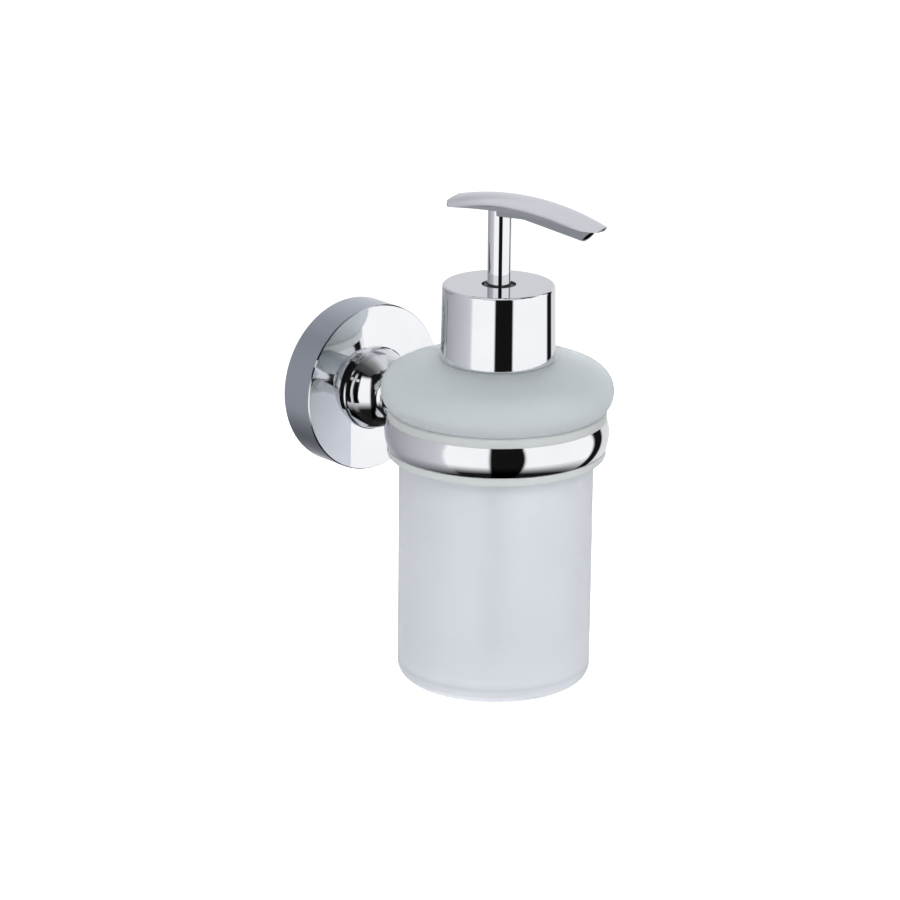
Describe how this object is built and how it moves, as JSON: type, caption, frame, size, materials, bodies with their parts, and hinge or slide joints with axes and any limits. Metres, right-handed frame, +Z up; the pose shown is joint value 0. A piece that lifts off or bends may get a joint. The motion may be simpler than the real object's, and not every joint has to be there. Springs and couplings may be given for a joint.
{
  "type": "wall mounted soap dispenser",
  "caption": "Wall mounted soap dispenser: round flange and domed post carry a ring, which holds a frosted glass bottle with a lever pump that presses and swivels.",
  "frame": {"origin": "centre of the round flange's back face, on the wall plane", "axes": "+Z up along the bottle's axis, +Y into the wall; the dispenser stands out along -Y and the wall is the plane Y = 0"},
  "size_m": [0.0798, 0.1185, 0.1722],
  "materials": {
    "bracket_steel": "zinc-plated steel, matte",
    "chrome": "polished chrome plate",
    "screw_steel": "bright steel screws, washer and pin",
    "liner": "translucent frosted soft plastic",
    "frosted_glass": "frosted, faintly green glass",
    "gasket_rubber": "white elastomer",
    "seal_rubber": "black elastomer",
    "white_plastic": "white moulded polypropylene",
    "black_plastic": "black moulded plastic",
    "tube_plastic": "translucent polyethylene tube",
    "spring_steel": "stainless spring wire",
    "ball_steel": "polished stainless balls"
  },
  "bodies": {
    "holder": {"wall_bracket": "bracket_steel", "flange_cover": "chrome", "cover_grub_screw": "screw_steel", "post_screw": "screw_steel", "post_washer": "screw_steel", "post_dowel": "screw_steel", "post_base_ring": "chrome", "post": "chrome", "ring_holder": "chrome", "ring_screw": "screw_steel", "ring_liner": "liner"},
    "bottle": {"glass_bottle": "frosted_glass"},
    "gasket": {"neck_gasket": "gasket_rubber"},
    "pump": {"pump_housing": "white_plastic", "housing_insert": "black_plastic", "stem_seal": "seal_rubber", "spring_seat": "white_plastic", "dip_tube": "tube_plastic", "pump_spring": "spring_steel"},
    "inlet_valve": {"inlet_ball": "ball_steel"},
    "cap": {"closure_cap": "white_plastic", "collar_shell": "chrome"},
    "plunger": {"piston": "white_plastic", "piston_stem": "white_plastic"},
    "outlet_valve": {"outlet_ball": "ball_steel"},
    "head": {"rod_sleeve": "chrome", "lever_top": "chrome", "lever_channel": "chrome"}
  },
  "joints": [
    {"name": "bottle_lift", "type": "slide", "parent": "holder", "child": "bottle", "axis": [0, 0, 1], "range_m": [0, 0.105]},
    {"name": "pump_lift", "type": "slide", "parent": "bottle", "child": "gasket", "axis": [0, 0, 1], "range_m": [0, 0.125]},
    {"name": "thread_rise", "type": "slide", "parent": "gasket", "child": "pump", "axis": [0, 0, 1], "range_m": [0, 0.004]},
    {"name": "cap_turn", "type": "hinge", "parent": "pump", "child": "cap", "pos_m": [0, -0.0786, 0.04], "axis": [0, 0, 1], "range_deg": [0, 450]},
    {"name": "pump_press", "type": "slide", "parent": "pump", "child": "plunger", "axis": [0, 0, -1], "range_m": [0, 0.012], "stiffness_N_per_m": 900, "springref_m": -0.005, "deforming": ["pump_spring"]},
    {"name": "head_swivel", "type": "hinge", "parent": "plunger", "child": "head", "pos_m": [0, -0.0786, 0.06], "axis": [0, 0, 1], "continuous": true},
    {"name": "inlet_ball_lift", "type": "slide", "parent": "pump", "child": "inlet_valve", "axis": [0, 0, 1], "range_m": [0, 0.0015]},
    {"name": "outlet_ball_lift", "type": "slide", "parent": "plunger", "child": "outlet_valve", "axis": [0, 0, 1], "range_m": [0, 0.0012]}
  ],
  "couplings": [
    {"joint": "thread_rise", "follows": "cap_turn", "m_per_rad": 0.00047746}
  ]
}
